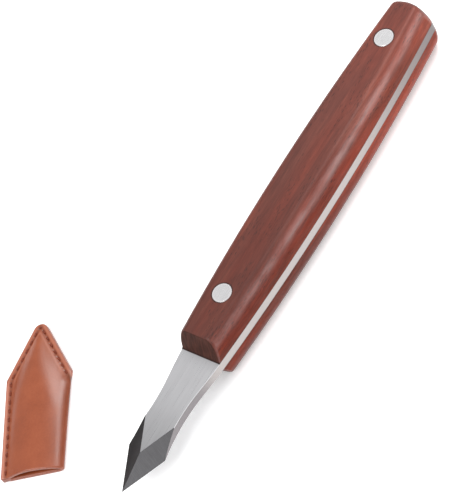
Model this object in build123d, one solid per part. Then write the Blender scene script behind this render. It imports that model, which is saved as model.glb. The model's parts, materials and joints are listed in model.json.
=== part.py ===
from build123d import *

import os
from math import atan2, cos, degrees, sin, sqrt, tan

# A full-tang whittling knife lying flat on a table, with its leather blade cover beside it.
# Millimetres, +Z up. The origin is on the lower face of the handle, which the knife rests on,
# under the point midway between the two rivets. +X runs from the blade's tip to the butt.
# The knife's pieces are made about the steel's mid-plane and lifted onto the table at the end.

# ---- steel ----
STEEL_THICKNESS = 3.0
BLADE_LENGTH = 46.3             # tip to the front of the handle
POINT_LENGTH = 13.9             # tip to the two corners of the spear point
POINT_HALF_WIDTH = 7.1
RIDGE_START = 12.4              # tip to where the two bevels and the flat face meet
NECK_FROM_TIP = 27.5
NECK_HALF_WIDTH = 5.6
FLARE_FROM_TIP = 37.0           # the concave neck turns into the convex flare here
EDGE_BREAK = 0.15               # broken edges round the blade's flat face
TANG_LAP = 14.0                 # how far the blade blank runs into the tang before they are joined

# ---- handle ----
HANDLE_THICKNESS = 19.2
OUTLINE_RADIUS = 790.0          # each side of the handle is one long arc
WIDEST_FROM_TIP = 107.0
WIDEST_HALF_WIDTH = 9.76
SHOULDER_ACROSS = 3.8           # half-axes of the elliptical shoulder along the faces
SHOULDER_DOWN = 7.5
OVERALL_LENGTH = 176.0
BUTT_RADIUS = 12.8              # seen from above
BUTT_CROWN_RADIUS = 29.7        # seen from the side
BUTT_ROUNDING = 2.3
FRONT_LEAN = 0.4                # the scales' front faces run back this much per mm of height
FRONT_ROUNDING = 1.0
LOWER_SCALE_LEAD = 0.6          # the lower scale's front is this much nearer the tip
GLUE_THICKNESS = 0.12

# ---- two-piece rivets ----
FRONT_RIVET_FROM_TIP = 64.6
RIVET_SPACING = 95.6
HEAD_RADIUS = 3.25
HEAD_HEIGHT = 2.0
HEAD_EDGE_BREAK = 0.12
HEAD_CLEARANCE = 0.06
TUBE_RADIUS = 2.3
TUBE_CLEARANCE = 0.05
PIN_RADIUS = 1.55
END_GAP = 0.3                   # each half stops this short of the other half's head

# ---- leather cover ----
LEATHER = 1.2
COVER_MOUTH = (-117.8, 36.0)    # middle of the open end on the table
COVER_TURN = 34.0               # degrees from +X to the cover's closed point
COVER_WIDTH = 22.0              # at the shoulders
MOUTH_NARROWING = 1.0           # the folded side leans in this much towards the mouth
SHOULDER_FROM_MOUTH = 34.4
SHARP_TIP_FROM_MOUTH = 55.7     # where the two slopes would meet
TIP_ROUNDING = 2.5
COVER_HEIGHT = 5.6
FOLD_ROUNDING = 2.7
POUCH_MARGIN = 3.0              # edge to the foot of the raised pouch
POUCH_TAPER = 35.0
POUCH_OVERRUN = 5.0             # the pouch runs past the fold and the mouth, and is trimmed there

# ---- stitching ----
STITCH_INSET = 1.7
STITCH_PITCH = 3.06
STITCH_LENGTH = 1.75
FIRST_STITCH = 1.2              # mouth to the first hole
STITCH_COUNT = 25
THREAD_WIDTH = 0.8
THREAD_THICKNESS = 0.5
THREAD_TOP = 2 * LEATHER + 0.1  # the upper stitches stand a little proud
THREAD_BOTTOM = 0.15            # the lower ones are sunk into the underside

MID_Z = HANDLE_THICKNESS / 2
HALF_STEEL = STEEL_THICKNESS / 2
TIP_X = -FRONT_RIVET_FROM_TIP - RIVET_SPACING / 2
HANDLE_FRONT_X = TIP_X + BLADE_LENGTH
WIDEST_X = TIP_X + WIDEST_FROM_TIP
BUTT_X = TIP_X + OVERALL_LENGTH
OUTLINE_CENTRE_Y = OUTLINE_RADIUS - WIDEST_HALF_WIDTH
RIVET_XS = {"front": -RIVET_SPACING / 2, "rear": RIVET_SPACING / 2}
SCALE_FLOOR = HALF_STEEL + GLUE_THICKNESS
SLOPE_ANGLE = atan2(COVER_WIDTH / 2, SHARP_TIP_FROM_MOUTH - SHOULDER_FROM_MOUTH)
CLEAR = 20.0                    # oversize of the tools that cut and trim
OVERRUN = 1.0                   # how far such a tool runs past the face that it trims
NEARLY = 0.01                   # heights closer than this are the same height


def handle_half_width(x):
    """Half the handle's width at x, on its long side arc."""
    return sqrt(OUTLINE_RADIUS**2 - (x - WIDEST_X) ** 2) - OUTLINE_CENTRE_Y


def side_slab():
    """A slab as thick as the handle whose -Y side is the long arc with its soft shoulders."""
    side, top = -WIDEST_HALF_WIDTH, MID_Z
    flat_edge = side + SHOULDER_ACROSS
    straight = top - SHOULDER_DOWN
    plane = Plane.YZ.offset(WIDEST_X)
    profile = Line((CLEAR, -top), (flat_edge, -top))
    profile += EllipticalCenterArc(
        (flat_edge, -straight), SHOULDER_ACROSS, SHOULDER_DOWN, start_angle=180, arc_size=90
    )
    profile += Line((side, -straight), (side, straight))
    profile += EllipticalCenterArc(
        (flat_edge, straight), SHOULDER_ACROSS, SHOULDER_DOWN, start_angle=90, arc_size=90
    )
    profile += Line((flat_edge, top), (CLEAR, top))
    profile += Line((CLEAR, top), (CLEAR, -top))
    axis = Axis((WIDEST_X, OUTLINE_CENTRE_Y, 0), (0, 0, 1))
    sweep = 2 * degrees(atan2(OVERALL_LENGTH / 2, OUTLINE_RADIUS))
    slab = revolve(plane * make_face(profile), axis, revolution_arc=sweep)
    return slab.rotate(axis, -sweep / 2)


def butt_limit():
    """The space ahead of the crowned, rounded end of the handle."""
    centre_x = BUTT_X - BUTT_RADIUS
    crown_y = BUTT_CROWN_RADIUS - BUTT_RADIUS
    rim_z = MID_Z + OVERRUN
    rim_y = sqrt(BUTT_CROWN_RADIUS**2 - rim_z**2) - crown_y
    profile = ThreePointArc((-rim_y, -rim_z), (-BUTT_RADIUS, 0), (-rim_y, rim_z))
    profile += Polyline((-rim_y, rim_z), (0, rim_z), (0, -rim_z), (-rim_y, -rim_z))
    axis = Axis((centre_x, 0, 0), (0, 0, 1))
    end = revolve(Plane.YZ.offset(centre_x) * make_face(profile), axis, revolution_arc=180)
    ahead = Box(
        2 * OVERALL_LENGTH, 2 * CLEAR, 2 * rim_z, align=(Align.MAX, Align.CENTER, Align.CENTER)
    )
    return end + Pos(centre_x, 0, 0) * ahead


def handle_form():
    """The whole handle, wood and steel together, as it is ground to shape."""
    slab = side_slab()
    form = (slab & slab.mirror(Plane.XZ) & butt_limit()).solid()
    butt = form.faces().sort_by(Axis.X)[-1]
    return fillet(butt.edges(), BUTT_ROUNDING)


def blade_outline():
    """The blade seen from above, with a lap that runs on into the handle."""
    lap_x = HANDLE_FRONT_X + TANG_LAP
    corner = Vector(TIP_X + POINT_LENGTH, POINT_HALF_WIDTH)
    neck = Vector(TIP_X + NECK_FROM_TIP, NECK_HALF_WIDTH)
    handle = Vector(HANDLE_FRONT_X, handle_half_width(HANDLE_FRONT_X))
    lap = Vector(lap_x, handle_half_width(lap_x))

    run, rise = neck.X - corner.X, corner.Y - neck.Y
    neck_radius = (run**2 + rise**2) / (2 * rise)
    flare_run = FLARE_FROM_TIP - NECK_FROM_TIP
    flare_drop = sqrt(neck_radius**2 - flare_run**2)
    flare = Vector(neck.X + flare_run, neck.Y + neck_radius - flare_drop)

    side = Line((TIP_X, 0), corner)
    side += ThreePointArc(corner, neck, flare)
    side += TangentArc(flare, handle, tangent=(flare_drop, flare_run))
    side += RadiusArc(handle, lap, OUTLINE_RADIUS)
    side += Line(lap, (lap.X, 0))
    return make_face(side + mirror(side, about=Plane.XZ))


def blade():
    """The blade: flat underneath, ground from above to a point by two bevels."""
    blank = extrude(Pos(0, 0, -HALF_STEEL) * blade_outline(), STEEL_THICKNESS)

    tip = Vector(TIP_X, 0, -HALF_STEEL)
    cutting_edge = Vector(POINT_LENGTH, POINT_HALF_WIDTH, 0)
    ridge = Vector(RIDGE_START, 0, STEEL_THICKNESS)
    bevel_plane = Plane(origin=tip, x_dir=cutting_edge, z_dir=ridge.cross(cutting_edge))
    ground_away = bevel_plane * Box(
        2 * BLADE_LENGTH, 2 * CLEAR, CLEAR, align=(Align.CENTER, Align.CENTER, Align.MIN)
    )
    blank -= ground_away
    blank -= ground_away.mirror(Plane.XZ)

    upper_edges = blank.faces().sort_by(Axis.Z)[-1].edges()
    neck_edges = [
        edge
        for edge in upper_edges.filter_by(GeomType.CIRCLE)
        if edge.center().X < HANDLE_FRONT_X
    ]
    return chamfer(neck_edges, EDGE_BREAK)


def rivet_drill(bore_radius):
    """What is drilled out for one rivet."""
    return Cylinder(bore_radius, 2 * MID_Z)


def drilled(piece, tool):
    """The piece with the tool taken out at both rivets."""
    for x in RIVET_XS.values():
        piece -= Pos(x, 0, 0) * tool
    return piece


def half_scale(form, front_x):
    """The wood above the tang, with its front face leaning back from front_x."""
    top = MID_Z + OVERRUN
    foot_x = front_x + FRONT_LEAN * GLUE_THICKNESS
    top_x = front_x + FRONT_LEAN * (top - HALF_STEEL)
    behind_x = BUTT_X + OVERRUN
    side_view = Polyline(
        (foot_x, SCALE_FLOOR), (top_x, top), (behind_x, top), (behind_x, SCALE_FLOOR), close=True
    )
    room = extrude(Plane.XZ * make_face(side_view), CLEAR, both=True)
    scale = (form & room).solid()
    front = scale.faces().sort_by(Axis.X)[0]
    soft_edges = [edge for edge in front.edges() if edge.center().Z > SCALE_FLOOR + NEARLY]
    scale = fillet(soft_edges, FRONT_ROUNDING)
    seat = Pos(0, 0, MID_Z - HEAD_HEIGHT) * Cylinder(
        HEAD_RADIUS + HEAD_CLEARANCE, HEAD_HEIGHT, align=(Align.CENTER, Align.CENTER, Align.MIN)
    )
    return drilled(scale, rivet_drill(TUBE_RADIUS + TUBE_CLEARANCE) + seat)


def tang_slice(form, low, high):
    """A slice of the handle's form between two heights, behind the handle's front."""
    room = Pos(HANDLE_FRONT_X, 0, low) * Box(
        OVERALL_LENGTH, 2 * CLEAR, high - low, align=(Align.MIN, Align.CENTER, Align.MIN)
    )
    return (form & room).solid()


def rivet_tube():
    """The upper half of a rivet: a flush head on a tube."""
    head = rivet_head()
    reach = 2 * MID_Z - 2 * HEAD_HEIGHT - END_GAP
    tube = Pos(0, 0, MID_Z - HEAD_HEIGHT) * Cylinder(
        TUBE_RADIUS, reach, align=(Align.CENTER, Align.CENTER, Align.MAX)
    )
    bore = Pos(0, 0, MID_Z - HEAD_HEIGHT) * Cylinder(
        PIN_RADIUS, reach, align=(Align.CENTER, Align.CENTER, Align.MAX)
    )
    return head + tube - bore


def rivet_pin():
    """The lower half of a rivet: a flush head on a solid pin that fills the tube."""
    reach = 2 * MID_Z - 2 * HEAD_HEIGHT - END_GAP
    pin = Pos(0, 0, MID_Z - HEAD_HEIGHT) * Cylinder(
        PIN_RADIUS, reach, align=(Align.CENTER, Align.CENTER, Align.MAX)
    )
    return (rivet_head() + pin).mirror(Plane.XY)


def rivet_head():
    """A disc level with the handle's upper face, its rim broken."""
    head = Pos(0, 0, MID_Z) * Cylinder(
        HEAD_RADIUS, HEAD_HEIGHT, align=(Align.CENTER, Align.CENTER, Align.MAX)
    )
    return chamfer(head.edges().group_by(Axis.Z)[-1], HEAD_EDGE_BREAK)


def stitch_point(distance):
    """A point of the stitch line: up the seam side, over the tip, and down the other slope."""
    tip = SHARP_TIP_FROM_MOUTH - STITCH_INSET / sin(SLOPE_ANGLE)
    seam_y = COVER_WIDTH / 2 - STITCH_INSET
    along_slope = distance - tip + seam_y / tan(SLOPE_ANGLE)
    if along_slope < 0:
        return Vector(distance, seam_y)
    short_of_tip = seam_y / sin(SLOPE_ANGLE) - along_slope
    return Vector(tip - abs(short_of_tip) * cos(SLOPE_ANGLE), short_of_tip * sin(SLOPE_ANGLE))


def cover_outline(seam_inset, fold_inset, mouth_x):
    """The cover seen from above, with its edges moved inward; the fold is on the -Y side."""
    tip = SHARP_TIP_FROM_MOUTH - seam_inset / sin(SLOPE_ANGLE)
    seam_y = COVER_WIDTH / 2 - seam_inset
    fold_y = COVER_WIDTH / 2 - fold_inset
    return make_face(
        Polyline(
            (mouth_x, MOUTH_NARROWING - fold_y),
            (tip - fold_y / tan(SLOPE_ANGLE), -fold_y),
            (tip, 0),
            (tip - seam_y / tan(SLOPE_ANGLE), seam_y),
            (mouth_x, seam_y),
            close=True,
        )
    )


def level_edges(shape):
    """The straight edges of a shape that run level."""
    lines = shape.edges().filter_by(GeomType.LINE)
    return [edge for edge in lines if abs(edge.tangent_at(0).Z) < NEARLY]


def cover_leather():
    """One piece of leather folded along its -Y side: two flat margins and a raised pouch."""
    outline = cover_outline(0, 0, 0)
    outline = fillet(outline.vertices().sort_by(Axis.X)[-1], TIP_ROUNDING)
    margins = extrude(outline, 2 * LEATHER)
    rise = COVER_HEIGHT - 2 * LEATHER
    pouch_foot = cover_outline(POUCH_MARGIN, -POUCH_OVERRUN, -POUCH_OVERRUN)
    pouch = extrude(Pos(0, 0, 2 * LEATHER) * pouch_foot, rise, taper=POUCH_TAPER)

    envelope = extrude(outline, COVER_HEIGHT)
    for height, rounding in ((COVER_HEIGHT, FOLD_ROUNDING), (0, LEATHER)):
        at_height = [
            edge for edge in level_edges(envelope) if abs(edge.center().Z - height) < NEARLY
        ]
        fold_edge = min(at_height, key=lambda edge: edge.center().Y)
        envelope = fillet(fold_edge, rounding)

    hollow_foot = cover_outline(POUCH_MARGIN, LEATHER, -POUCH_OVERRUN)
    hollow = extrude(Pos(0, 0, LEATHER) * hollow_foot, rise, taper=POUCH_TAPER)
    return (((margins + pouch) & envelope) - hollow).solid()


def heading(start, end):
    """The direction from one point to another, in degrees from +X."""
    run = end - start
    return degrees(atan2(run.Y, run.X))


def thread_bar(start, end, turn, low, high):
    """A flat bar of thread that runs between two holes and covers both."""
    bar = Box(
        (end - start).length + THREAD_THICKNESS,
        THREAD_WIDTH,
        high - low,
        align=(Align.CENTER, Align.CENTER, Align.MIN),
    )
    middle = (start + end) / 2
    return Pos(middle.X, middle.Y, low) * Rot(0, 0, turn) * bar


def cover_thread():
    """One flat thread in a running stitch: a bar above, down a hole, a bar below, and up."""
    upper_underside = THREAD_TOP - THREAD_THICKNESS
    lower_topside = THREAD_BOTTOM + THREAD_THICKNESS
    bars = []
    for index in range(STITCH_COUNT):
        first = FIRST_STITCH + index * STITCH_PITCH
        hole_in = stitch_point(first)
        hole_out = stitch_point(first + STITCH_LENGTH)
        turn = heading(hole_in, hole_out)
        bars.append(thread_bar(hole_in, hole_out, turn, upper_underside, THREAD_TOP))
        for hole in (hole_in, hole_out):
            bars.append(thread_bar(hole, hole, turn, THREAD_BOTTOM, THREAD_TOP))
        if index < STITCH_COUNT - 1:
            next_in = stitch_point(first + STITCH_PITCH)
            turn = heading(hole_out, next_in)
            bars.append(thread_bar(hole_out, next_in, turn, THREAD_BOTTOM, lower_topside))
    return bars[0].fuse(*bars[1:]).clean()


def main():
    form = handle_form()
    drill = rivet_drill(TUBE_RADIUS + TUBE_CLEARANCE)
    lower_front_x = HANDLE_FRONT_X - LOWER_SCALE_LEAD
    upper_glue = drilled(tang_slice(form, HALF_STEEL, SCALE_FLOOR), drill)
    knife = {
        "blade_and_tang": drilled(blade() + tang_slice(form, -HALF_STEEL, HALF_STEEL), drill),
        "upper_scale": half_scale(form, HANDLE_FRONT_X),
        "lower_scale": half_scale(form, lower_front_x).mirror(Plane.XY),
        "upper_glue_film": upper_glue,
        "lower_glue_film": upper_glue.mirror(Plane.XY),
    }
    for place, x in RIVET_XS.items():
        knife[f"{place}_rivet_tube"] = Pos(x, 0, 0) * rivet_tube()
        knife[f"{place}_rivet_pin"] = Pos(x, 0, 0) * rivet_pin()

    thread = cover_thread()
    cover = {"sheath_leather": cover_leather() - thread, "sheath_thread": thread}

    onto_table = Pos(0, 0, MID_Z)
    beside_blade = Pos(COVER_MOUTH[0], COVER_MOUTH[1], 0) * Rot(0, 0, COVER_TURN)
    os.makedirs("parts", exist_ok=True)
    for place, pieces in ((onto_table, knife), (beside_blade, cover)):
        for name, piece in pieces.items():
            export_step(place * piece, f"parts/{name}.step")


if __name__ == "__main__":
    main()
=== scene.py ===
import json
import math

import bmesh
import bpy
from mathutils import Euler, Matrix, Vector
from mathutils.geometry import delaunay_2d_cdt


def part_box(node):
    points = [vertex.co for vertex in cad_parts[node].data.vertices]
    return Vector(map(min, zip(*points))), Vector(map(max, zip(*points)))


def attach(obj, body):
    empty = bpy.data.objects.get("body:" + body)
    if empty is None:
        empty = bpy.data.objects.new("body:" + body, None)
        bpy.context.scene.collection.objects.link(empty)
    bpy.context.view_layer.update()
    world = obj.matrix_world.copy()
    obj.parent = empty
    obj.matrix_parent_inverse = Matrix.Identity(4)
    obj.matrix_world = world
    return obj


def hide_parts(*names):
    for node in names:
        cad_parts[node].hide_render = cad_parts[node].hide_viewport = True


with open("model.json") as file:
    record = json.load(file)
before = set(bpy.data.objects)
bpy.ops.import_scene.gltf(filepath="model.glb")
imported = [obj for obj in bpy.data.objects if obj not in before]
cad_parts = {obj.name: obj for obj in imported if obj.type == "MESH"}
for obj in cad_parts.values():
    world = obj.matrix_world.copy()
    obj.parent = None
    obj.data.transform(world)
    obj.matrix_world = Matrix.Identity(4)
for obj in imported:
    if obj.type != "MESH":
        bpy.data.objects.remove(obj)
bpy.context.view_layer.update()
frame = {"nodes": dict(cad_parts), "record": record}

MM = 0.001

# ---- camera and floor: angles in degrees, lengths in metres ----
CAMERA_AIM = Vector((-0.0309, 0.0152, 0.0096))
CAMERA_DISTANCE = 0.729
CAMERA_AZIMUTH = -24.92
CAMERA_ELEVATION = 50.33
CAMERA_ROLL = -37.79
LENS_MM = 174.4
SENSOR_MM = 36
FLOOR_REACH = 3.0                   # from the floor's middle to its sides

# ---- places read from the frame, in metres ----
STEEL_LOW, STEEL_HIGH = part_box("blade_and_tang")
STEEL_MIDDLE_Z = (STEEL_LOW.z + STEEL_HIGH.z) / 2
SCALE_LOW, SCALE_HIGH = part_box("upper_scale")
RIVET_BOXES = [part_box(f"{place}_rivet_tube") for place in ("front", "rear")]
RIVET_RADIUS = (RIVET_BOXES[0][1].x - RIVET_BOXES[0][0].x) / 2
MOUNTS = {mount["name"]: mount for mount in frame["record"]["mounts"]}

# ---- the steel ----
GRINDING_TURN = math.radians(27)    # of the bevels' grinding lines away from straight across
BEVEL_UP = (0.80, 0.86, 0.92, 0.96)        # the normal's Z on a bevel, as Graph.band takes it
EDGE_BREAK_UP = (0.5, 0.6, 0.76, 0.82)     # the same on the blade's fine edge breaks

# ---- the leather cover, in millimetres, in its own frame: x from the open mouth to the closed
# point, y from the fold to the seam, z up ----
COVER_TURN = math.radians(34)       # from the model's +X to the cover's x
MOUTH_TO_MOUNT = 20.0
HALF_WIDTH = 11.0                   # at the shoulders
MOUTH_NARROWING = 1.0               # of the folded side, at the mouth
SHOULDER_X = 34.4
SHARP_TIP_X = 55.7                  # where the two slopes would meet
TIP_RADIUS = 2.5
SLOPE = math.atan2(HALF_WIDTH, SHARP_TIP_X - SHOULDER_X)
LEATHER = 1.2                       # thickness of one leaf
MARGIN_HEIGHT = 2 * LEATHER
FOLD_RADIUS = 2.6
FOLD_FADE = (0.3, 5.0)              # the fold turns into a cut edge this far from the shoulder
CUT_ROUNDING = 0.35
LEAF_LINE_DEPTH = 0.16              # of the line between the two leaves, in the cut edges
LEAF_LINE_WIDTH = 0.09
MOUTH_ROUNDING = 0.2
CORNER_SOFTNESS = 0.35              # of the inset lines, where the sewn edges meet

# ---- the pouch, in millimetres ----
POUCH_RISE = 2.9                    # above the margin, at most
MOUTH_RISE = 0.82                   # the rise at the mouth, as a part of the whole
MOUTH_REACH = 20.0                  # from the mouth to where the pouch is at its full rise
SEAM_HOLD = 2.2                     # from the seam's edge to where the leather starts to rise
SLOPE_HOLD = 1.7                    # the same from a slope's edge
HOLD_REACH = 8.5                    # from there to where the leather levels off
FOLD_REACH = 11.5                   # from the fold to where the leather levels off
RISE_POWER = 2.2                    # how much steeper than straight the rise starts
RISE_SOFTNESS = 0.4                 # of the crease where the rise starts
RIDGE_ROUNDING = 1.0                # where the two slopes' rises meet
POCKET_MARGIN = 2.9                 # sewn edge to the pocket inside
POCKET_END = 0.2                    # how much farther in than that its blunt end lies

# ---- the cover's mesh ----
EDGE_STEP = 0.25                    # millimetres along the outline
SPINE_REACH = 0.872                 # how far the middle line of the mesh runs, to the tip's 1
TOP_RINGS = 30
BOTTOM_RINGS = 12
RING_CROWDING = 1.35                # how much closer together the rings are at the edge
POCKET_STEPS = 24
POCKET_ROWS = 60
SAME_PLACE = 0.002                  # millimetres between points that are joined
# worn is real wear; the second mark darkens the stitch line, partly real pressing and partly
# painted shade; rubbed marks painted highlights and folded marks painted shade.
LEATHER_MARKS = ("worn", "pressed_and_painted_shade", "rubbed", "folded")

# ---- stitching, in millimetres ----
STITCH_INSET = 1.7
STITCH_PITCH = 3.06
STITCH_LENGTH = 1.75
FIRST_STITCH = 1.2
STITCH_COUNT = 25
STITCH_SLANT = math.radians(9)
THREAD_HALF_WIDTH = 0.36
THREAD_HALF_HEIGHT = 0.3
THREAD_PLIES = 3
THREAD_TWIST = 2.6                  # radians in half a stitch
PLY_SWELL = 0.09                    # a ply's bulge, as a part of the thread's half width
THREAD_SIDES = 16
THREAD_RINGS = 22
DIMPLE_DEPTH = 0.3                  # at a stitch hole
DIMPLE_WIDTH = 0.38
GROOVE_SHARE = 0.45                 # the groove's depth between holes, as a part of a dimple's
GROOVE_WIDTH = 0.42
PRESSED_REACH = 1.2                 # nothing farther from the stitch line is pressed
UNDER_GROOVE_DEPTH = 0.32           # of the even groove underneath
UNDER_GROOVE_WIDTH = 0.5
UPPER_THREAD_Z = MARGIN_HEIGHT - 0.02
LOWER_THREAD_Z = THREAD_HALF_HEIGHT + 0.04
UPPER_DIVE = 0.75                   # how far a stitch's ends go into the leather
LOWER_DIVE = 0.5


def smooth(value, low, high):
    """0 below low, 1 above high, with a soft rise between."""
    t = min(max((value - low) / (high - low), 0.0), 1.0)
    return t * t * (3 - 2 * t)


def bell(value, width):
    """1 at 0, falling off softly within about the width."""
    return math.exp(-((value / width) ** 2))


def grey(value):
    return (value, value, value)


# ---------------------------------------------------------------- studio

def direction(azimuth, elevation):
    """The unit vector from the object towards a direction; azimuth 0 is the -Y side."""
    a, e = math.radians(azimuth), math.radians(elevation)
    return Vector((math.sin(a) * math.cos(e), -math.cos(a) * math.cos(e), math.sin(e)))


def make_camera():
    camera = bpy.data.objects.new("camera", bpy.data.cameras.new("camera"))
    camera.data.sensor_width = SENSOR_MM
    camera.data.lens = LENS_MM
    view = direction(CAMERA_AZIMUTH, CAMERA_ELEVATION)
    roll = Euler((0, 0, math.radians(CAMERA_ROLL))).to_quaternion()
    camera.rotation_mode = "QUATERNION"
    camera.rotation_quaternion = view.to_track_quat("Z", "Y") @ roll
    camera.location = CAMERA_AIM + view * CAMERA_DISTANCE
    bpy.context.scene.collection.objects.link(camera)
    bpy.context.scene.camera = camera


def make_softbox(name, azimuth, elevation, distance, size, power):
    """A rectangular lamp that faces the object. Size is its width and height in metres."""
    light = bpy.data.lights.new(name, "AREA")
    light.shape = "RECTANGLE"
    light.size, light.size_y = size
    light.energy = power
    lamp = bpy.data.objects.new(name, light)
    towards = direction(azimuth, elevation)
    lamp.location = CAMERA_AIM + towards * distance
    lamp.rotation_euler = towards.to_track_quat("Z", "Y").to_euler()
    lamp.visible_camera = False
    bpy.context.scene.collection.objects.link(lamp)


def make_world():
    """A pale tent above a dark horizon."""
    world = bpy.data.worlds.new("studio")
    world.use_nodes = True
    nodes, links = world.node_tree.nodes, world.node_tree.links
    coords = nodes.new("ShaderNodeTexCoord")
    split = nodes.new("ShaderNodeSeparateXYZ")
    ramp = nodes.new("ShaderNodeValToRGB")
    links.new(coords.outputs["Generated"], split.inputs[0])
    links.new(split.outputs["Z"], ramp.inputs["Fac"])
    links.new(ramp.outputs["Color"], nodes["Background"].inputs["Color"])
    horizon, tent = ramp.color_ramp.elements
    horizon.position, horizon.color = 0.05, (0.16, 0.16, 0.165, 1)
    tent.position, tent.color = 0.5, (0.745, 0.74, 0.75, 1)
    bpy.context.scene.world = world


def make_floor():
    corners = [(-1, -1), (1, -1), (1, 1), (-1, 1)]
    places = [(x * FLOOR_REACH, y * FLOOR_REACH, 0) for x, y in corners]
    mesh = bpy.data.meshes.new("floor")
    mesh.from_pydata(places, [], [(0, 1, 2, 3)])
    mesh.materials.append(floor_material())
    floor = bpy.data.objects.new("floor", mesh)
    bpy.context.scene.collection.objects.link(floor)


def make_studio():
    make_world()
    make_softbox("low_key", azimuth=26, elevation=5.5, distance=0.9, size=(0.6, 0.16), power=4.5)
    make_softbox("side_key", azimuth=96, elevation=48, distance=0.9, size=(0.36, 0.36), power=4.2)
    make_softbox("fill", azimuth=-88, elevation=56, distance=1.2, size=(0.8, 0.8), power=9.5)
    make_floor()


# ---------------------------------------------------------------- materials

class Graph:
    """A material's node graph. Every input is a plain value or another node's socket."""

    def __init__(self, name):
        self.material = bpy.data.materials.new(name)
        self.material.use_nodes = True
        self.tree = self.material.node_tree
        self.shader = self.tree.nodes["Principled BSDF"]
        coords = self.node("TexCoord")
        self.place = coords.outputs["Object"]
        self.x, self.y, self.z = self.split(self.place)
        self.normal = self.split(coords.outputs["Normal"])

    def plug(self, socket, value):
        if isinstance(value, bpy.types.NodeSocket):
            self.tree.links.new(value, socket)
        else:
            socket.default_value = value

    def node(self, kind, inputs=None, **settings):
        node = self.tree.nodes.new("ShaderNode" + kind)
        for name, value in settings.items():
            setattr(node, name, value)
        for key, value in (inputs or {}).items():
            self.plug(node.inputs[key], value)
        return node

    def set(self, name, value):
        self.plug(self.shader.inputs[name], value)

    def split(self, vector):
        return self.node("SeparateXYZ", {0: vector}).outputs

    def join(self, x, y, z):
        return self.node("CombineXYZ", {0: x, 1: y, 2: z}).outputs[0]

    def math(self, operation, a, b=0.0, c=0.0):
        return self.node("Math", {0: a, 1: b, 2: c}, operation=operation).outputs[0]

    def scaled(self, vector, x, y, z):
        return self.node("VectorMath", {0: vector, 1: (x, y, z)}, operation="MULTIPLY").outputs[0]

    def added(self, vector, other):
        return self.node("VectorMath", {0: vector, 1: other}, operation="ADD").outputs[0]

    def soft(self, value, low, high, start=0.0, end=1.0):
        """start below low, end above high, with a soft change between."""
        inputs = {
            "Value": value, "From Min": low, "From Max": high, "To Min": start, "To Max": end
        }
        return self.node("MapRange", inputs, interpolation_type="SMOOTHSTEP").outputs[0]

    def band(self, value, start, full, until, end):
        """1 between full and until, falling softly to 0 at start and at end."""
        rise = self.soft(value, start, full)
        return self.math("MULTIPLY", rise, self.soft(value, until, end, 1, 0))

    def between(self, factor, start, end):
        """start where the factor is 0, end where it is 1."""
        return self.node("Mix", {0: factor, 2: start, 3: end}).outputs[0]

    def blended(self, *parts):
        """The sum of (weight, value) pairs."""
        total = 0.0
        for weight, value in parts:
            total = self.math("MULTIPLY_ADD", value, weight, total)
        return total

    def from_rivet(self, box):
        """How far a point is from a rivet's upright axis."""
        middle = (box[0] + box[1]) / 2
        flat = self.join(self.math("SUBTRACT", self.x, middle.x), self.y, 0.0)
        return self.node("VectorMath", {0: flat}, operation="LENGTH").outputs["Value"]

    def noise(self, vector, scale=1.0, detail=2.0, roughness=0.5):
        inputs = {"Vector": vector, "Scale": scale, "Detail": detail, "Roughness": roughness}
        return self.node("TexNoise", inputs).outputs["Fac"]

    def cells(self, vector, scale, feature="F1"):
        inputs = {"Vector": vector, "Scale": scale}
        return self.node("TexVoronoi", inputs, feature=feature).outputs["Distance"]

    def ramp(self, value, *stops):
        ramp = self.node("ValToRGB", {"Fac": value})
        elements = ramp.color_ramp.elements
        while len(elements) < len(stops):
            elements.new(0.5)
        for element, (position, color) in zip(elements, stops):
            element.position = position
            element.color = (*color, 1)
        return ramp.outputs["Color"]

    def mix(self, factor, a, b, blend="MIX"):
        mix = self.node("Mix", data_type="RGBA", blend_type=blend)
        for socket, value in ((mix.inputs[0], factor), (mix.inputs[6], a), (mix.inputs[7], b)):
            color = isinstance(value, tuple)
            self.plug(socket, (*value, 1) if color else value)
        return mix.outputs[2]

    def bump(self, height, distance, strength):
        inputs = {"Height": height, "Distance": distance, "Strength": strength}
        return self.node("Bump", inputs).outputs[0]


def floor_material():
    """White paper that glows faintly, which keeps the shadows on it light."""
    graph = Graph("floor_paper")
    fibres = graph.noise(graph.place, scale=400, detail=3)
    graph.set("Base Color", graph.ramp(fibres, (0, grey(0.87)), (1, grey(0.89))))
    graph.set("Roughness", 0.9)
    graph.set("Specular IOR Level", 0.2)
    graph.set("Emission Color", (1, 1, 1, 1))
    graph.set("Emission Strength", 0.28)
    return graph.material


def drawn_steel(graph, drawn):
    """The steel's colour off the bevels, with its bright edge breaks. Painted shade darkens it
    towards the point, and its sides are darker, partly as ground steel and partly as painted
    shade.
    """
    clouds = graph.noise(graph.place, scale=90, detail=3)
    face = graph.ramp(
        graph.blended((0.6, drawn), (0.4, clouds)),
        (0.3, (0.62, 0.62, 0.63)),
        (0.7, (0.73, 0.73, 0.74)),
    )
    # Painted shade: the face darkens towards the point, as its reflection does there.
    towards_handle = graph.soft(graph.x, STEEL_LOW.x, SCALE_LOW.x)
    shade = graph.ramp(towards_handle, (0, grey(0.56)), (1, grey(0.98)))
    face = graph.mix(1.0, face, shade, "MULTIPLY")

    up = graph.normal["Z"]
    # Painted shade: the sides are darker than the face, partly for their ground finish. Along the
    # handle the tang's edge darkens and turns pinker towards the butt, painted shade with a
    # painted reflection of the wood.
    on_side = graph.soft(graph.math("ABSOLUTE", up), 0.3, 0.6, 1, 0)
    towards_butt = graph.soft(graph.x, 0.0, SCALE_HIGH.x)
    side = graph.ramp(towards_butt, (0, (0.40, 0.375, 0.365)), (1, (0.19, 0.168, 0.165)))
    on_blade = graph.soft(graph.x, SCALE_LOW.x - 12 * MM, SCALE_LOW.x, 1, 0)
    side = graph.mix(on_blade, side, (0.22, 0.205, 0.21))
    face = graph.mix(on_side, face, side)
    on_edge_break = graph.band(up, *EDGE_BREAK_UP)
    return graph.mix(on_edge_break, face, (0.86, 0.86, 0.87))


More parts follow.
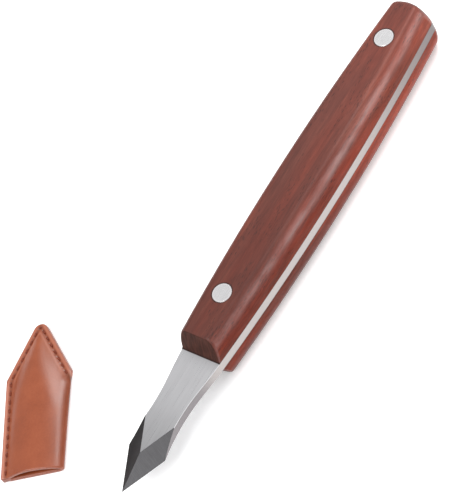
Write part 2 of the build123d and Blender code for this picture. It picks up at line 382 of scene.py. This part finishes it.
def steel_material():
    """Satin steel, with bevels ground at right angles to their cutting edges. Their dark colour is
    partly the coarser grinding and mostly a painted dark reflection; painted shade darkens the far
    bevel further.
    """
    graph = Graph("satin_steel")
    drawn = graph.noise(graph.scaled(graph.place, 60, 5200, 5200), detail=4, roughness=0.65)
    mirrored = graph.join(graph.x, graph.math("ABSOLUTE", graph.y), graph.z)
    turned = graph.node(
        "VectorRotate", {"Vector": mirrored, "Angle": -GRINDING_TURN}, rotation_type="Z_AXIS"
    ).outputs[0]
    ground = graph.noise(graph.scaled(turned, 6500, 260, 260), detail=4, roughness=0.7)

    on_bevel = graph.band(graph.normal["Z"], *BEVEL_UP)
    # Painted reflection: near-black bevels, mostly standing in for the dark surroundings they
    # mirror, partly their coarser grinding.
    dark = graph.ramp(ground, (0.3, (0.058, 0.057, 0.059)), (0.7, (0.084, 0.083, 0.086)))
    # Painted shade: the far bevel is darker still.
    far_bevel_painted_shade = graph.soft(graph.y, 0.0, 5 * MM)
    dark = graph.mix(far_bevel_painted_shade, dark, (0.045, 0.045, 0.047))
    graph.set("Base Color", graph.mix(on_bevel, drawn_steel(graph, drawn), dark))
    graph.set("Metallic", 1.0)
    rough = graph.soft(drawn, 0.3, 0.7, 0.27, 0.38)
    graph.set("Roughness", graph.math("ADD", rough, graph.math("MULTIPLY", on_bevel, 0.06)))
    graph.set("Normal", graph.bump(graph.between(on_bevel, drawn, ground), 0.004 * MM, 0.6))
    return graph.material


def rosewood_grain(graph):
    """Where a point is in the grain, which wanders a little off the handle's length."""
    drift = graph.noise(graph.scaled(graph.place, 22, 60, 60), detail=2)
    wander = graph.math("MULTIPLY", graph.math("SUBTRACT", drift, 0.5), 3.2 * MM)
    return graph.added(graph.place, graph.join(0.0, wander, wander))


def long_grain(graph, grain, streaks, fibres, sideways):
    """The wood's colour along the grain: streaky, darker at the front and paler to the butt, and
    redder and lighter on its sides. These changes are partly the wood's tone and cut, partly
    painted light.
    """
    bands = graph.noise(graph.scaled(grain, 16, 170, 170), detail=3)
    wood = graph.ramp(
        graph.blended((0.45, bands), (0.3, streaks), (0.25, fibres)),
        (0.34, (0.056, 0.014, 0.009)),
        (0.45, (0.084, 0.021, 0.014)),
        (0.55, (0.114, 0.028, 0.018)),
        (0.68, (0.175, 0.046, 0.028)),
    )
    # Partly painted light: darker at the front and paler and greyer towards the butt, partly the
    # wood's own tone.
    towards_butt = graph.soft(graph.x, SCALE_LOW.x, SCALE_HIGH.x)
    shade = graph.ramp(towards_butt, (0, (0.80, 0.78, 0.78)), (1, (1.24, 1.29, 1.36)))
    warmth = graph.noise(graph.scaled(grain, 13, 120, 120), detail=2)
    tint = graph.ramp(warmth, (0.38, (0.92, 1.02, 1.06)), (0.62, (1.15, 0.94, 0.86)))
    for change in (shade, tint):
        wood = graph.mix(1.0, wood, change, "MULTIPLY")
    # Redder and lighter sides: partly their different cut of grain, partly painted light where the
    # lamps fall on them.
    redder = graph.mix(1.0, wood, (1.38, 1.12, 1.0), "MULTIPLY")
    side_tint_and_painted_light = graph.math(
        "MULTIPLY", graph.soft(sideways, 0.5, 0.98), graph.soft(streaks, 0.3, 0.6, 0.55, 1)
    )
    return graph.mix(side_tint_and_painted_light, wood, redder)


def end_grain(graph):
    """The wood's colour across the grain: nearly black, with fine rays, darkest at the glue."""
    rays = graph.noise(graph.scaled(graph.place, 250, 1500, 250), detail=4)
    wood = graph.ramp(rays, (0.35, (0.034, 0.011, 0.007)), (0.7, (0.074, 0.024, 0.016)))
    off_middle = graph.math("ABSOLUTE", graph.math("SUBTRACT", graph.z, STEEL_MIDDLE_Z))
    glue_level = SCALE_LOW.z - STEEL_MIDDLE_Z
    at_glue = graph.soft(off_middle, glue_level, glue_level + 1 * MM, 0.8, 0)
    return graph.mix(at_glue, wood, (0.012, 0.005, 0.004))


def rosewood_polish(graph, grain, sideways, on_end):
    """The wood's gloss: patchy on its shoulders, and faint on its upright sides and its ends."""
    rubbed = graph.noise(graph.scaled(grain, 110, 420, 420), detail=3)
    patches = graph.soft(rubbed, 0.36, 0.64, 0.42, 0.76)
    polish = graph.between(graph.soft(sideways, 0.45, 0.85), 0.42, patches)
    polish = graph.math("MULTIPLY", polish, graph.soft(sideways, 0.9, 0.985, 1, 0.16))
    return graph.math("MULTIPLY", polish, graph.soft(on_end, 0, 1, 1, 0.4))


def rosewood_material():
    """Oiled rosewood with long streaks, fine dark pores, rubbed shoulders and dark end grain."""
    graph = Graph("oiled_rosewood")
    grain = rosewood_grain(graph)
    streaks = graph.noise(graph.scaled(grain, 60, 800, 800), detail=4, roughness=0.6)
    fibres = graph.noise(graph.scaled(grain, 260, 3400, 3400), detail=3, roughness=0.6)
    sideways = graph.math("ABSOLUTE", graph.normal["Y"])
    wood = long_grain(graph, grain, streaks, fibres, sideways)

    pore_cells = graph.cells(graph.scaled(grain, 420, 2500, 2500), 1.0)
    pore_patches = graph.noise(graph.scaled(grain, 70, 320, 320), detail=1)
    pore = graph.math(
        "MULTIPLY", graph.soft(pore_cells, 0.16, 0.36, 1, 0), graph.soft(pore_patches, 0.47, 0.62)
    )
    wood = graph.mix(graph.math("MULTIPLY", pore, 0.8), wood, (0.026, 0.009, 0.007))
    on_end = graph.soft(graph.math("ABSOLUTE", graph.normal["X"]), 0.62, 0.85)
    wood = graph.mix(on_end, wood, end_grain(graph))
    for box in RIVET_BOXES:
        inner, outer = RIVET_RADIUS + 0.2 * MM, RIVET_RADIUS + 0.5 * MM
        ring = graph.soft(graph.from_rivet(box), inner, outer, 0.6, 0)
        wood = graph.mix(ring, wood, (0.020, 0.008, 0.006))

    graph.set("Base Color", wood)
    rough = graph.soft(streaks, 0.3, 0.7, 0.41, 0.50)
    graph.set("Roughness", graph.math("ADD", rough, graph.math("MULTIPLY", on_end, 0.2)))
    graph.set("Specular IOR Level", rosewood_polish(graph, grain, sideways, on_end))
    graph.set("Specular Tint", (1, 0.87, 0.85, 1))
    waves = graph.noise(graph.scaled(grain, 90, 330, 330), detail=2)
    height = graph.blended((0.3, fibres), (-0.8, pore), (3.0, waves))
    graph.set("Normal", graph.bump(height, 0.02 * MM, 0.6))
    return graph.material


def rivet_material():
    """Pale metal, sanded flush with the wood along its length, with a paler rim."""
    graph = Graph("sanded_rivet_metal")
    sanded = graph.noise(graph.scaled(graph.place, 300, 6500, 6500), detail=4, roughness=0.7)
    clouds = graph.noise(graph.place, scale=500, detail=2)
    tone = graph.blended((0.5, sanded), (0.5, clouds))
    metal = graph.ramp(tone, (0.3, grey(0.79)), (0.7, grey(0.89)))
    for box in RIVET_BOXES:
        from_axis = graph.from_rivet(box)
        rim = graph.soft(from_axis, RIVET_RADIUS - 0.7 * MM, RIVET_RADIUS - 0.2 * MM)
        this_rivet = graph.soft(from_axis, 2 * RIVET_RADIUS, 3 * RIVET_RADIUS, 0.8, 0)
        metal = graph.mix(graph.math("MULTIPLY", rim, this_rivet), metal, (0.97, 0.94, 0.94))
    graph.set("Base Color", metal)
    graph.set("Metallic", 1.0)
    graph.set("Roughness", graph.soft(sanded, 0.3, 0.7, 0.22, 0.29))
    graph.set("Normal", graph.bump(sanded, 0.002 * MM, 0.5))
    return graph.material


def glue_material():
    graph = Graph("dark_epoxy")
    specks = graph.noise(graph.place, scale=2500, detail=2)
    epoxy = graph.ramp(specks, (0.3, (0.020, 0.010, 0.008)), (0.7, (0.055, 0.026, 0.02)))
    graph.set("Base Color", epoxy)
    graph.set("Roughness", 0.45)
    return graph.material


def leather_material():
    """Smooth tan leather with a soft gloss and fine grain; its cut edges are burnished."""
    graph = Graph("tan_leather")
    mottle = graph.noise(graph.place, scale=110, detail=4, roughness=0.6)
    speckle = graph.noise(graph.place, scale=1500, detail=3, roughness=0.6)
    tan = graph.ramp(
        graph.blended((0.65, mottle), (0.35, speckle)),
        (0.32, (0.225, 0.048, 0.014)),
        (0.50, (0.262, 0.058, 0.018)),
        (0.68, (0.300, 0.072, 0.024)),
    )
    worn, pressed_and_painted_shade, rubbed, folded = (
        graph.node("Attribute", attribute_name=name).outputs["Fac"] for name in LEATHER_MARKS
    )
    burnished = graph.ramp(speckle, (0.3, (0.20, 0.052, 0.028)), (0.7, (0.34, 0.11, 0.065)))
    # Painted shade darkens the leather along its fold.
    tan = graph.mix(folded, tan, (0.125, 0.024, 0.007))
    # Painted highlights pale the margins and the creases inside the slope stitches.
    tan = graph.mix(rubbed, tan, (0.45, 0.175, 0.115))
    tan = graph.mix(worn, tan, burnished)
    # The stitch line and holes darken: partly pressed leather, partly painted shade in the holes.
    tan = graph.mix(graph.math("MULTIPLY", pressed_and_painted_shade, 0.75), tan, (0.10, 0.022, 0.010))
    graph.set("Base Color", tan)
    graph.set("Roughness", graph.soft(mottle, 0.3, 0.7, 0.30, 0.37))
    graph.set("Specular IOR Level", 0.56)
    pebbles = graph.cells(graph.place, 2300, "SMOOTH_F1")
    creases = graph.noise(graph.scaled(graph.place, 500, 900, 700), detail=4, roughness=0.6)
    height = graph.blended((0.7, pebbles), (0.5, creases))
    graph.set("Normal", graph.bump(height, 0.022 * MM, 0.5))
    return graph.material


def thread_material():
    graph = Graph("waxed_thread")
    fuzz = graph.noise(graph.place, scale=1600, detail=3)
    brown = graph.ramp(fuzz, (0.3, (0.115, 0.021, 0.010)), (0.7, (0.22, 0.048, 0.023)))
    graph.set("Base Color", brown)
    graph.set("Roughness", 0.6)
    graph.set("Specular IOR Level", 0.25)
    graph.set("Normal", graph.bump(fuzz, 0.05 * MM, 0.6))
    return graph.material


# ---------------------------------------------------------------- the cover's shape

def to_model(x, y, z):
    """A point of the cover's own frame, in millimetres, as a point of the model in metres."""
    middle = Vector(MOUNTS["sheath_lower_face"]["pos_m"])
    along = Vector((math.cos(COVER_TURN), math.sin(COVER_TURN), 0))
    across = Vector((-math.sin(COVER_TURN), math.cos(COVER_TURN), 0))
    return middle + (along * (x - MOUTH_TO_MOUNT) + across * y) * MM + Vector((0, 0, z * MM))


def from_model(point):
    """The inverse of to_model."""
    offset = (point - to_model(0, 0, 0)) / MM
    x = offset.x * math.cos(COVER_TURN) + offset.y * math.sin(COVER_TURN)
    y = offset.y * math.cos(COVER_TURN) - offset.x * math.sin(COVER_TURN)
    return x, y, offset.z


def stitch_point(distance):
    """A point of the stitch line: up the seam side, over the tip, and down the other slope."""
    tip = SHARP_TIP_X - STITCH_INSET / math.sin(SLOPE)
    seam_y = HALF_WIDTH - STITCH_INSET
    along_slope = distance - tip + seam_y / math.tan(SLOPE)
    if along_slope < 0:
        return Vector((distance, seam_y))
    short_of_tip = seam_y / math.sin(SLOPE) - along_slope
    return Vector((tip - abs(short_of_tip) * math.cos(SLOPE), short_of_tip * math.sin(SLOPE)))


def stitches(start, length):
    """The two ends of every stitch that begins this far after each upper stitch's first hole."""
    for index in range(STITCH_COUNT):
        first = FIRST_STITCH + index * STITCH_PITCH + start
        yield stitch_point(first), stitch_point(first + length)


UPPER_STITCHES = list(stitches(0, STITCH_LENGTH))
LOWER_STITCHES = list(stitches(STITCH_LENGTH, STITCH_PITCH - STITCH_LENGTH))[:-1]
HOLES = [hole for pair in UPPER_STITCHES for hole in pair]


def edge_distance(x, y):
    """How far inside the sewn edges a point is: the seam side and the two slopes."""
    from_tip = (SHARP_TIP_X - x) * math.sin(SLOPE)
    distances = (
        HALF_WIDTH - y,
        from_tip - y * math.cos(SLOPE),
        from_tip + y * math.cos(SLOPE),
    )
    return -CORNER_SOFTNESS * math.log(sum(math.exp(-d / CORNER_SOFTNESS) for d in distances))


def narrowing(x):
    """How far the folded side lies inside the full width at x."""
    return MOUTH_NARROWING * max(0.0, 1 - x / SHOULDER_X)


def fold_distance(x, y):
    """How far a point is from the folded side."""
    return y - (narrowing(x) - HALF_WIDTH)


def pressing(x, y):
    """How deep the thread presses the leather, from 0 to 1: along its line and at its holes."""
    off_line = edge_distance(x, y) - STITCH_INSET
    if abs(off_line) > PRESSED_REACH:
        return 0.0
    here = Vector((x, y))
    nearest = min((here - hole).length for hole in HOLES)
    return max(GROOVE_SHARE * bell(off_line, GROOVE_WIDTH), bell(nearest, DIMPLE_WIDTH))


def bulge(distance):
    """0 up to where the leather is held down, then rising steeply and levelling off at 1."""
    lifted = max(distance, 0.0)
    lifted = lifted**2 / (lifted + RISE_SOFTNESS)
    return 1 - max(0.0, 1 - lifted / HOLD_REACH) ** RISE_POWER


def pouch_height(x, y):
    """The upper leaf's outer surface without the thread's groove."""
    off_middle = math.hypot(y, RIDGE_ROUNDING)
    from_slope = (SHARP_TIP_X - x) * math.sin(SLOPE) - off_middle * math.cos(SLOPE)
    held = bulge(HALF_WIDTH - y - SEAM_HOLD) * bulge(from_slope - SLOPE_HOLD)
    roll = max(0.0, 1 - fold_distance(x, y) / FOLD_REACH) ** RISE_POWER
    relaxed = MOUTH_RISE + (1 - MOUTH_RISE) * smooth(x, 0, MOUTH_REACH)
    return MARGIN_HEIGHT + POUCH_RISE * relaxed * held * (1 - roll)


def cover_outline():
    """Points round the cover from the mouth on the seam side, over the tip, to the mouth again."""
    arc_x = SHARP_TIP_X - TIP_RADIUS / math.sin(SLOPE)
    arc_half = math.pi / 2 - SLOPE

    def on_arc(angle):
        return Vector((arc_x + TIP_RADIUS * math.cos(angle), TIP_RADIUS * math.sin(angle)))

    def between(start, end):
        count = round((end - start).length / EDGE_STEP)
        return [start.lerp(end, i / count) for i in range(count)]

    shoulder = Vector((SHOULDER_X, HALF_WIDTH))
    side = between(Vector((0, HALF_WIDTH)), shoulder) + between(shoulder, on_arc(arc_half))
    arc_count = round(TIP_RADIUS * arc_half / EDGE_STEP)
    side += [on_arc(arc_half * (1 - i / arc_count)) for i in range(arc_count)]
    folded = [Vector((point.x, narrowing(point.x) - point.y)) for point in side]
    return side + [on_arc(0)] + folded[::-1]


def wall_levels():
    """Heights from 1 at the cover's upper rim to -1, closest at its rims and the leaves' line."""
    upper = [1, 0.992, 0.965, 0.91, 0.82, 0.66, 0.4, 0.14, 0.06]
    return upper + [0] + [-level for level in reversed(upper)]


def cut_inset(level, half_height):
    """How far a cut edge stands back at a level: rounded rims and a line between the leaves."""
    from_rim = (1 - abs(level)) * half_height
    short = max(0.0, CUT_ROUNDING - from_rim)
    rim = CUT_ROUNDING - math.sqrt(CUT_ROUNDING**2 - short**2)
    return rim + LEAF_LINE_DEPTH * bell(level * half_height, LEAF_LINE_WIDTH)


def inward_rings(rim, spine, count):
    """Points from inside the rim to the middle line, closest together at the rim."""
    return [rim.lerp(spine, (ring / count) ** RING_CROWDING) for ring in range(1, count + 1)]


def skin_column(point, run):
    """The outer skin at an outline point: from the middle line over the edge to below it."""
    inward = Vector((run.y, -run.x))
    on_fold = point.y < 0 and point.x < SHOULDER_X
    folded = smooth(SHOULDER_X - point.x, *FOLD_FADE) if on_fold else 0.0
    reach = CUT_ROUNDING + (FOLD_RADIUS - CUT_ROUNDING) * folded
    rim = point + inward * reach
    spine = Vector((point.x * SPINE_REACH, 0))

    top = []
    for place in inward_rings(rim, spine, TOP_RINGS):
        sunk = DIMPLE_DEPTH * pressing(place.x, place.y)
        top.append((place.x, place.y, pouch_height(place.x, place.y) - sunk))

    height = pouch_height(rim.x, rim.y)
    inner = rim + inward * EDGE_STEP
    slope = max(pouch_height(inner.x, inner.y) - height, 0) / EDGE_STEP
    middle = (height - slope * reach * folded) / 2
    wall = []
    for level in wall_levels():
        round_inset = reach * (1 - math.sqrt(1 - level**2))
        inset = cut_inset(level, height / 2) * (1 - folded) + round_inset * folded
        place = point + inward * inset
        lean = slope * inset * folded if level > 0 else 0
        wall.append((place.x, place.y, middle * (1 + level) + lean))

    bottom = []
    for place in inward_rings(rim, spine, BOTTOM_RINGS):
        off_line = edge_distance(place.x, place.y) - STITCH_INSET
        bottom.append((place.x, place.y, UNDER_GROOVE_DEPTH * bell(off_line, UNDER_GROOVE_WIDTH)))
    return top[::-1] + wall + bottom


def skin_columns():
    """The whole outer skin, with a column for each point of the outline."""
    outline = cover_outline()
    before = outline[:1] + outline[:-1]
    after = outline[1:] + outline[-1:]
    return [
        skin_column(point, (following - previous).normalized())
        for previous, point, following in zip(before, outline, after)
    ]


def moved_sideways(loop, distance):
    """A closed loop of (y, z) points, each moved to the left of the loop's run there."""
    moved = []
    for index, here in enumerate(loop):
        run = Vector(loop[(index + 1) % len(loop)]) - Vector(loop[index - 1])
        run.normalize()
        moved.append((here[0] - run.y * distance, here[1] + run.x * distance))
    return moved


def round_mouth(columns):
    """Draws the skin in a little at the mouth. Returns its rim as a closed loop of (y, z)."""
    first = [point[1:] for point in columns[0]]
    last = [point[1:] for point in columns[-1]]
    rim = moved_sideways(first[:-1] + last[:0:-1], -MOUTH_ROUNDING)
    count = len(first)
    columns[0] = [(0, y, z) for y, z in rim[:count]]
    columns[-1] = [(0, y, z) for y, z in rim[:1] + rim[:count - 2:-1]]
    return rim


def pocket_section(x):
    """The pocket's outline across the cover at x, as (y, z) points round from the seam side."""
    from_end = (SHARP_TIP_X - x) * math.sin(SLOPE) - POCKET_MARGIN
    seam_y = min(HALF_WIDTH - POCKET_MARGIN, from_end / math.cos(SLOPE))
    fold_y = LEATHER - HALF_WIDTH + narrowing(x)
    fold_y = min(max(fold_y, -from_end / math.cos(SLOPE)), seam_y)
    upper, lower = [], []
    for step in range(POCKET_STEPS + 1):
        y = seam_y + (fold_y - seam_y) * math.sin(math.pi / 2 * step / POCKET_STEPS)
        half = max(pouch_height(x, y) - MARGIN_HEIGHT, 0) / 2
        from_fold = min(max((y - fold_y) / (FOLD_RADIUS - LEATHER), 0), 1)
        rounding = math.sqrt(1 - (1 - from_fold) ** 2)
        upper.append((y, LEATHER + half * (1 + rounding)))
        lower.append((y, LEATHER + half * (1 - rounding)))
    return upper[:-1] + lower[:0:-1]


def pocket_rows(rim):
    """The pocket's surface as closed rows, from its rim at the mouth to its blunt end."""
    deepest = SHARP_TIP_X - (POCKET_MARGIN + POCKET_END) / math.sin(SLOPE)
    rows = [[(0, y, z) for y, z in rim]]
    for row in range(POCKET_ROWS + 1):
        x = EDGE_STEP + (deepest - EDGE_STEP) * row / POCKET_ROWS
        rows.append([(x, y, z) for y, z in pocket_section(x)])
    return rows


# ---------------------------------------------------------------- the cover's pieces

def add_grid(mesh, rows, closed=False):
    """Adds rows of points in the cover's frame, with faces between. Returns the vertices."""
    made = [[mesh.verts.new(to_model(*point)) for point in row] for row in rows]
    for row, following in zip(made, made[1:]):
        for i in range(len(row) if closed else len(row) - 1):
            j = (i + 1) % len(row)
            mesh.faces.new((row[i], row[j], following[j], following[i]))
    return made


def is_inside(point, loop):
    """Whether a point lies inside a closed loop of flat points."""
    inside = False
    for index, (y1, z1) in enumerate(loop):
        y0, z0 = loop[index - 1]
        if (z0 > point.y) != (z1 > point.y):
            crossing = y0 + (point.y - z0) * (y1 - y0) / (z1 - z0)
            if point.x < crossing:
                inside = not inside
    return inside


def add_mouth(mesh, outer, inner):
    """Fills the cut end of the leather between two closed loops of (y, z) points at the mouth."""
    points = [Vector(point) for point in outer + inner]
    first = len(outer)
    rims = [(i, (i + 1) % first) for i in range(first)]
    rims += [(first + i, first + (i + 1) % len(inner)) for i in range(len(inner))]
    places, _, triangles, *_ = delaunay_2d_cdt(points, rims, [], 0, 1e-7)
    made = [mesh.verts.new(to_model(0, *place)) for place in places]
    for triangle in triangles:
        middle = sum((places[i] for i in triangle), Vector((0, 0))) / 3
        if is_inside(middle, outer) and not is_inside(middle, inner):
            mesh.faces.new([made[i] for i in triangle])


def new_piece(name, mesh, material):
    """Turns a bmesh into a smooth-shaded object of the model."""
    bmesh.ops.recalc_face_normals(mesh, faces=mesh.faces)
    data = bpy.data.meshes.new(name)
    mesh.to_mesh(data)
    mesh.free()
    data.shade_smooth()
    data.materials.append(material)
    piece = bpy.data.objects.new(name, data)
    bpy.context.scene.collection.objects.link(piece)
    return piece


def mark_leather(data):
    """Stores on each point how far the leather is worn; how far the stitch line darkens it, partly
    by pressing and partly as painted shade in the holes; how much painted highlight pales its
    margins and creases; and how much painted shade darkens its fold.
    """
    crease_inset, margin_inset = 2.75, 0.65
    marks = [data.attributes.new(name, "FLOAT", "POINT") for name in LEATHER_MARKS]
    for index, vertex in enumerate(data.vertices):
        x, y, _ = from_model(vertex.co)
        inside = edge_distance(x, y)
        worn = max(1 - smooth(inside, 0.05, 0.3), 1 - smooth(x, 0.02, 0.2))
        on_slope = smooth(x, SHOULDER_X - 3, SHOULDER_X + 1)
        # Painted highlights: a pale line along the crease inside the stitches and along the
        # margin.
        crease = bell(inside - crease_inset, 0.3) * (0.1 + 0.35 * on_slope)
        margin = bell(inside - margin_inset, 0.5) * (1.0 - 0.5 * on_slope)
        # Painted shade along the fold.
        folded = 0.5 * (1 - smooth(fold_distance(x, y), -0.5, 5.0)) * (1 - on_slope)
        for mark, value in zip(marks, (worn, pressing(x, y), max(crease, margin), folded)):
            mark.data[index].value = value


def make_leather():
    mesh = bmesh.new()
    columns = skin_columns()
    outer = round_mouth(columns)
    add_grid(mesh, columns)
    inner = moved_sideways(pocket_section(0), -MOUTH_ROUNDING)
    pocket = add_grid(mesh, pocket_rows(inner), closed=True)
    mesh.faces.new(pocket[-1])
    add_mouth(mesh, outer, inner)
    bmesh.ops.remove_doubles(mesh, verts=mesh.verts, dist=SAME_PLACE * MM)

    leather = new_piece("folded_leather", mesh, leather_material())
    mark_leather(leather.data)
    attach(leather, "sheath")
    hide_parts("sheath_leather")


def add_stitch(mesh, start, end, height, end_rise):
    """One stitch as a twisted tube at a height. Below 0, end_rise lets its ends dive."""
    middle, half = (start + end) / 2, (end - start) / 2
    half = Vector((
        half.x * math.cos(STITCH_SLANT) - half.y * math.sin(STITCH_SLANT),
        half.x * math.sin(STITCH_SLANT) + half.y * math.cos(STITCH_SLANT),
    ))
    across = Vector((-half.y, half.x)).normalized()
    rows = []
    for ring in range(THREAD_RINGS + 1):
        along = 2 * ring / THREAD_RINGS - 1
        place = middle + half * along
        z = height + end_rise * abs(along) ** 4
        row = []
        for side in range(THREAD_SIDES):
            angle = 2 * math.pi * side / THREAD_SIDES
            ply = 1 + PLY_SWELL * math.cos(THREAD_PLIES * (angle - THREAD_TWIST * along))
            flat = place + across * (THREAD_HALF_WIDTH * ply * math.cos(angle))
            row.append((flat.x, flat.y, z + THREAD_HALF_HEIGHT * ply * math.sin(angle)))
        rows.append(row)
    made = add_grid(mesh, rows, closed=True)
    mesh.faces.new(made[0])
    mesh.faces.new(made[-1])


def make_thread():
    mesh = bmesh.new()
    for start, end in UPPER_STITCHES:
        add_stitch(mesh, start, end, UPPER_THREAD_Z, -UPPER_DIVE)
    for start, end in LOWER_STITCHES:
        add_stitch(mesh, start, end, LOWER_THREAD_Z, LOWER_DIVE)
    thread = new_piece("running_stitches", mesh, thread_material())
    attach(thread, "sheath")
    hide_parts("sheath_thread")


# ---------------------------------------------------------------- the whole scene

def finish_cad_nodes():
    """Gives the pieces whose CAD shape is right their finish."""
    finishes = {
        steel_material(): ["blade_and_tang"],
        rosewood_material(): ["upper_scale", "lower_scale"],
        glue_material(): ["upper_glue_film", "lower_glue_film"],
        rivet_material(): [
            f"{place}_rivet_{half}" for place in ("front", "rear") for half in ("tube", "pin")
        ],
    }
    for material, names in finishes.items():
        for name in names:
            mesh = frame["nodes"][name].data
            mesh.materials.clear()
            mesh.materials.append(material)


make_camera()
make_studio()
finish_cad_nodes()
make_leather()
make_thread()
bpy.context.scene.view_settings.view_transform = "Standard"
